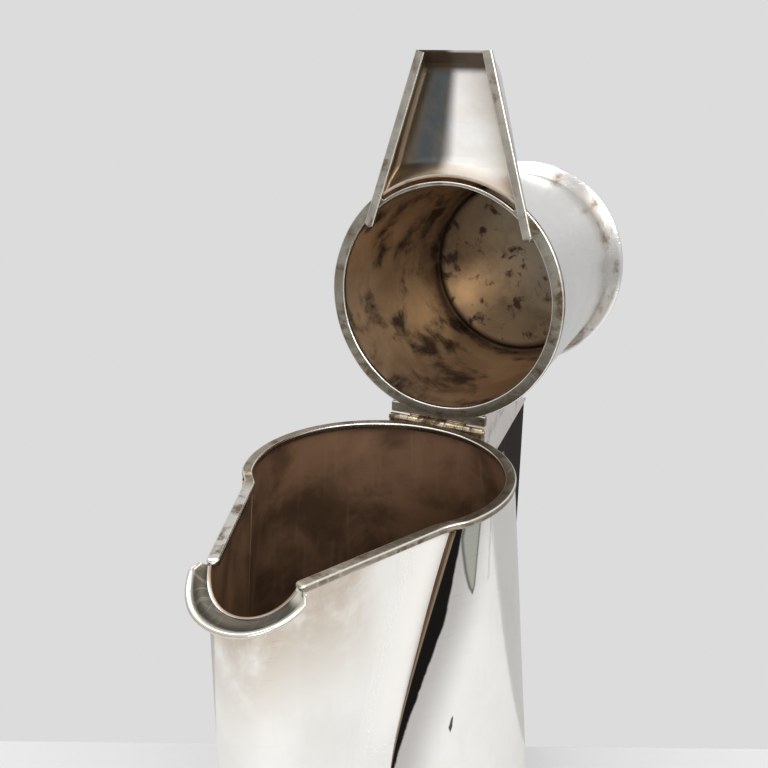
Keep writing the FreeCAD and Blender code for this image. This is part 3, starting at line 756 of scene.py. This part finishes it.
def rim_silver():
    finish = Finish("worn_rim_silver", (0.20, 0.155, 0.10), 0.4)
    wear, strip, far, hinged = (finish.attribute(n) for n in ("wear", "strip", "far", "hinged"))
    finish.layer(finish.patches(90, 0.5, 0.14), (0.30, 0.25, 0.18), 0.34)
    finish.layer(finish.times(strip, 0.4), (0.42, 0.37, 0.29), 0.3)
    finish.layer(finish.times(far, 0.8), (0.70, 0.68, 0.64), 0.26)
    finish.layer(finish.patches(160, 0.34, 0.08, 3.0), (0.12, 0.085, 0.05), 0.42)
    finish.layer(finish.times(hinged, 0.7), (0.14, 0.09, 0.055), 0.4)
    finish.layer(finish.times(wear, 0.95), (0.96, 0.94, 0.89), 0.14)
    hair = finish.hairlines(0.7)
    finish.layer(finish.times(hair, 0.5), (0.75, 0.70, 0.60), 0.25)
    finish.relief(hair, -0.3).relief(finish.patches(240, 0.5, 0.2, 7.0), 0.35)
    return finish.done()


def lip_silver():
    finish = Finish("pouring_lip_silver", (0.50, 0.48, 0.42), 0.22)
    channel, wear = finish.attribute("channel"), finish.attribute("wear")
    finish.layer(finish.step(channel, 0.05, 0.5), (0.06, 0.056, 0.046), 0.38, 0.8)
    stain = finish.times(channel, finish.patches(90, 0.5, 0.12, 4.0))
    finish.layer(stain, (0.10, 0.08, 0.052), 0.4)
    finish.layer(wear, (0.70, 0.665, 0.57), 0.16)
    hair = finish.hairlines(0.5)
    finish.layer(finish.times(hair, 0.3), (0.7, 0.67, 0.6), 0.3)
    finish.relief(hair, -0.3).relief(finish.patches(30, 0.5, 0.3, 7.0), 0.5)
    return finish.done()


def ring_silver():
    finish = Finish("mottled_ring_silver", (0.27, 0.235, 0.175), 0.38)
    wear = finish.attribute("wear")
    finish.layer(finish.patches(110, 0.5, 0.14), (0.40, 0.38, 0.32), 0.32)
    finish.layer(finish.patches(150, 0.3, 0.08, 3.0), (0.13, 0.085, 0.045), 0.45)
    finish.layer(finish.times(wear, 0.9), (0.95, 0.92, 0.86), 0.16)
    hair = finish.hairlines(0.7)
    finish.relief(hair, -0.3).relief(finish.patches(260, 0.5, 0.2, 7.0), 0.5)
    return finish.done()


def strip_silver():
    finish = Finish("cover_edge_silver", (0.56, 0.52, 0.45), 0.32)
    finish.layer(finish.patches(110, 0.45, 0.14), (0.36, 0.33, 0.28), 0.34)
    finish.layer(finish.patches(200, 0.2, 0.08, 3.0), (0.22, 0.15, 0.09), 0.4)
    finish.layer(finish.times(finish.attribute("wear"), 0.9), (0.95, 0.92, 0.86), 0.16)
    hair = finish.hairlines(0.6)
    finish.relief(hair, -0.3).relief(finish.patches(260, 0.5, 0.2, 7.0), 0.4)
    return finish.done()


def lid_silver():
    finish = Finish("scratched_lid_silver", bright, 0.2)
    inside = finish.attribute("inside")
    finish.layer(finish.patches(20, 0.5, 0.2), (0.86, 0.85, 0.83), 0.26)
    hair = finish.hairlines(0.9)
    finish.layer(finish.times(hair, 0.25), (0.66, 0.64, 0.62), 0.34)
    finish.layer(inside, (0.78, 0.57, 0.37), 0.3, 0.75)
    finish.layer(finish.times(finish.patches(24, 0.5, 0.14, 3.0), inside), (0.46, 0.30, 0.18), 0.36)
    specks = finish.times(finish.patches(60, 0.36, 0.08, 5.0), inside)
    finish.layer(specks, (0.09, 0.055, 0.035), 0.45)
    finish.layer(finish.times(finish.streaks((9, 220, 220), 0.3), inside), (0.64, 0.50, 0.34), 0.28)
    finish.relief(hair, -0.25).relief(finish.patches(12, 0.5, 0.4, 8.0), 0.7)
    return finish.done()


def crown_silver():
    finish = Finish("lid_crown_silver", (0.66, 0.645, 0.61), 0.26)
    wear = finish.attribute("wear")
    finish.layer(finish.patches(60, 0.5, 0.15), (0.50, 0.47, 0.42), 0.32)
    finish.layer(finish.patches(130, 0.3, 0.08, 3.0), (0.26, 0.21, 0.165), 0.4)
    finish.layer(finish.times(wear, 0.85), (0.96, 0.95, 0.93), 0.14)
    hair = finish.hairlines(0.9)
    finish.layer(finish.times(hair, 0.4), (0.6, 0.57, 0.53), 0.32)
    finish.relief(hair, -0.35).relief(finish.patches(90, 0.5, 0.3, 7.0), 0.4)
    return finish.done()


def lining_silver():
    finish = Finish("lid_lining_silver", (0.25, 0.215, 0.165), 0.28)
    groove = finish.attribute("groove")
    finish.layer(finish.patches(18, 0.45, 0.2), (0.42, 0.31, 0.18), 0.32)
    finish.layer(finish.patches(44, 0.3, 0.14, 3.0), (0.15, 0.115, 0.08), 0.36)
    finish.layer(finish.patches(150, 0.22, 0.05, 5.0), (0.07, 0.05, 0.04), 0.5)
    finish.layer(groove, (0.04, 0.026, 0.018), 0.5)
    hair = finish.hairlines(0.6)
    finish.relief(hair, -0.3).relief(finish.patches(14, 0.5, 0.4, 8.0), 0.8)
    return finish.done()


def cover_silver():
    finish = Finish("cover_silver", (0.86, 0.86, 0.85), 0.2)
    side, split, inside = (finish.attribute(n) for n in ("side", "split", "inside"))
    root, end = finish.attribute("root"), finish.attribute("end")
    # painted light inside the cover: one half of the roof in painted shade, the other half a
    # near-white matte as a painted reflection, with a darker brown band along the wall on the
    # shaded side and a lighter tan band on the other
    shade = finish.times(finish.step(split, -0.02, 0.26), inside)
    finish.layer(inside, (0.97, 0.96, 0.93), 0.24, 0.15)
    finish.layer(shade, (0.10, 0.117, 0.122), 0.3, 0.9)
    finish.layer(finish.times(finish.times(finish.step(split, 0.45, 0.95), inside), 0.7),
                 (0.30, 0.20, 0.10), 0.34)
    finish.layer(finish.times(finish.times(finish.step(split, -0.55, -0.95), inside), 0.6),
                 (0.66, 0.43, 0.24), 0.3)
    finish.layer(finish.times(finish.patches(40, 0.4, 0.14, 2.0), 0.35), (0.50, 0.36, 0.22), 0.28)
    finish.layer(finish.times(root, 0.6), (0.38, 0.27, 0.16), 0.4)
    # painted shade: the inner faces of the end wall and of the side walls darkened to a deep brown
    finish.layer(finish.times(end, 0.95), (0.085, 0.055, 0.032), 0.42, 0.7)
    finish.layer(finish.times(side, 0.95), (0.085, 0.045, 0.025), 0.42, 0.7)
    hair = finish.hairlines(0.6)
    finish.relief(hair, -0.3).relief(finish.patches(12, 0.5, 0.4, 8.0), 0.7)
    return finish.done()


def hinge_metal():
    finish = Finish("hinge_brown_silver", (0.46, 0.36, 0.23), 0.3)
    finish.layer(finish.patches(200, 0.5, 0.12), (0.66, 0.57, 0.42), 0.24)
    finish.layer(finish.patches(330, 0.45, 0.08, 3.0), (0.12, 0.08, 0.05), 0.45)
    finish.relief(finish.hairlines(0.8), -0.3).relief(finish.patches(500, 0.5, 0.2, 7.0), 0.4)
    return finish.done()


def bracket_metal():
    finish = Finish("bracket_silver", (0.86, 0.81, 0.78), 0.24)
    finish.layer(finish.patches(40, 0.5, 0.2), (0.74, 0.68, 0.64), 0.3)
    finish.layer(finish.patches(90, 0.25, 0.1, 3.0), (0.34, 0.27, 0.22), 0.4)
    hair = finish.hairlines(0.7)
    finish.layer(finish.times(hair, 0.3), (0.6, 0.57, 0.54), 0.35)
    finish.relief(hair, -0.3)
    return finish.done()


def ebony_wood():
    finish = Finish("ebony", (0.012, 0.008, 0.006), 0.55, 0.0)
    grain = finish.streaks((500, 500, 25), 0.45)
    finish.layer(grain, (0.020, 0.015, 0.012), 0.45)
    finish.relief(grain, -0.5).relief(finish.patches(300, 0.5, 0.2, 3.0), 0.2)
    finish.shader.inputs["Specular IOR Level"].default_value = 0.06
    return finish.done()


# ---- put together -----------------------------------------------------------------------
silver, rim_metal, lid_metal = body_silver(), rim_silver(), lid_silver()
ring_metal, cover_metal, strip_metal = ring_silver(), cover_silver(), strip_silver()
fit(body_shell(), "pot", "body_cone", silver, "body_cone")
fit(spout_shell(), "pot", "spout_sheet", silver, "spout_sheet")
fit(mouth_wire(), "pot", "silver_wire", rim_metal, "mouth_rim", "rim_strip_left",
    "rim_strip_right")
fit(pouring_lip(), "pot", "silver_wire", lip_silver(), "pouring_lip")
fit(lid_tube(), "lid", "lid_wall", lid_metal, "lid_wall")
fit(lid_crown(), "lid", "lid_collar", crown_silver(), "lid_collar")
fit(lid_lining(), "lid", "lid_inner_disc", lining_silver(), "lid_inner_disc")
fit(lid_ring(), "lid", "silver_wire", ring_metal, "lid_base_ring")
fit(lid_tab(), "lid", "silver_wire", ring_metal, "lid_hinge_tab")
fit(cover_trough(), "lid", "silver_sheet", cover_metal, "cover_roof", "cover_side_left",
    "cover_side_right", "cover_end_wall")
fit(cover_strip(-1), "lid", "silver_wire", strip_metal, "cover_strip_left")
fit(cover_strip(1), "lid", "silver_wire", strip_metal, "cover_strip_right")

# nodes that keep the solid's own mesh, with their finish
bracket = bracket_metal()
kept = [
    (floor_silver(), ["floor_plate"]),
    (bracket, ["lid_top_plate", "upper_bracket", "lower_bracket"]),
    (rim_metal, ["foot_wire"]),
    (hinge_metal(), ["hinge_bearer", "body_knuckle_left", "body_knuckle_centre",
                     "body_knuckle_right", "hinge_pin", "lid_knuckle_left",
                     "lid_knuckle_right", "grip_pins"]),
    (ebony_wood(), ["handle_grip"]),
]
for finish, nodes in kept:
    for node in nodes:
        mesh = frame["nodes"][node].data
        mesh.materials.clear()
        mesh.materials.append(finish)

# ---- camera -----------------------------------------------------------------------------
# degrees, then millimetres; lens_share is the focal length over the sensor's width
azimuth, elevation, roll = (math.radians(a) for a in (-63.58, 19.19, 0.59))
distance, aim_right, aim_up, lens_share = 277.0, 1.27, 24.95, 948.0 / 768
back = Vector((math.sin(azimuth) * math.cos(elevation), -math.cos(azimuth) * math.cos(elevation),
               math.sin(elevation)))
right = Vector((math.cos(azimuth), math.sin(azimuth), 0))
up = back.cross(right)
aim = Vector((0, 0, rim_height)) + right * aim_right + up * aim_up
c, s = math.cos(roll), math.sin(roll)
turned_right, turned_up = right * c + up * s, up * c - right * s
camera_data = bpy.data.cameras.new("camera")
camera_data.lens = lens_share * camera_data.sensor_width
camera_data.clip_start = 0.01
camera = bpy.data.objects.new("camera", camera_data)
bpy.context.scene.collection.objects.link(camera)
camera.matrix_world = Matrix.Translation((aim + back * distance) * MM) @ Matrix(
    (turned_right, turned_up, back)).transposed().to_4x4()
bpy.context.scene.camera = camera

# ---- stage ------------------------------------------------------------------------------
flat_back = Vector((back.x, back.y, 0)).normalized()


def table():
    """A pale table top whose far edge is close behind the pot, as (right, back) corners."""
    rear, front, left_end, right_end, deep = -0.0615, 0.33, -0.42, 0.5, 0.03
    corners = [right * x + flat_back * y for x, y in
               ((left_end, rear), (right_end, rear), (right_end, front), (left_end, front))]
    points = [tuple(p) for p in corners] + [(p.x, p.y, -deep) for p in corners]
    faces = [(0, 1, 2, 3), (7, 6, 5, 4), (0, 4, 5, 1), (1, 5, 6, 2), (2, 6, 7, 3), (3, 7, 4, 0)]
    mesh = bpy.data.meshes.new("table")
    mesh.from_pydata(points, [], faces)
    made = bpy.data.objects.new("table", mesh)
    bpy.context.scene.collection.objects.link(made)
    material = bpy.data.materials.new("table_white")
    material.use_nodes = True
    material.node_tree.nodes["Principled BSDF"].inputs["Base Color"].default_value = (
        0.66, 0.66, 0.66, 1)
    material.node_tree.nodes["Principled BSDF"].inputs["Roughness"].default_value = 0.6
    made.data.materials.append(material)


def softbox(name, place, target, size, power):
    """A rectangular lamp at place, facing target; metres and watts."""
    data = bpy.data.lights.new(name, "AREA")
    data.shape, data.size, data.size_y = "RECTANGLE", size[0], size[1]
    data.energy = power
    made = bpy.data.objects.new(name, data)
    bpy.context.scene.collection.objects.link(made)
    direction = Vector(target) - Vector(place)
    facing = direction.to_track_quat("-Z", "Y").to_matrix().to_4x4()
    made.matrix_world = Matrix.Translation(place) @ facing


def studio():
    """Soft grey surroundings: an even grey behind the object, and for reflections a room that is
    brighter above, with darker bands round the horizon."""
    world = bpy.data.worlds.new("studio")
    bpy.context.scene.world = world
    world.use_nodes = True
    tree = world.node_tree
    output = tree.nodes["World Output"]
    plain = tree.nodes["Background"]
    plain.inputs["Color"].default_value = (0.715, 0.715, 0.722, 1)
    direction = add(tree, "TexCoord").outputs["Generated"]
    parts = add(tree, "SeparateXYZ", {0: direction})
    lift = add(tree, "MapRange", {"Value": parts.outputs[2], "From Min": -1.0, "From Max": 1.0})
    ramp = add(tree, "ValToRGB", {0: lift.outputs[0]})
    keys = ramp.color_ramp
    keys.elements[0].position, keys.elements[0].color = 0.0, (0.62, 0.62, 0.61, 1)
    keys.elements[1].position, keys.elements[1].color = 1.0, (0.95, 0.95, 0.96, 1)
    for position, value in ((0.44, 0.60), (0.50, 0.58), (0.56, 0.70), (0.66, 0.86)):
        keys.elements.new(position).color = (value, value, value * 1.01, 1)
    room = add(tree, "Background", {"Color": ramp.outputs[0], "Strength": 0.9})
    seen = add(tree, "LightPath").outputs["Is Camera Ray"]
    both = add(tree, "MixShader", {0: seen, 1: room.outputs[0], 2: plain.outputs[0]})
    tree.links.new(both.outputs[0], output.inputs["Surface"])


table()
studio()
softbox("key", (-0.35, -0.55, 0.75), (0, 0, 0.12), (0.7, 0.5), 3.5)
softbox("front", (-0.85, -0.30, 0.42), (0, 0, 0.19), (0.35, 0.35), 1.8)
softbox("top", (0.1, 0.2, 0.9), (0, 0, 0.2), (0.6, 0.6), 2.5)
bpy.context.scene.view_settings.view_transform = "Standard"
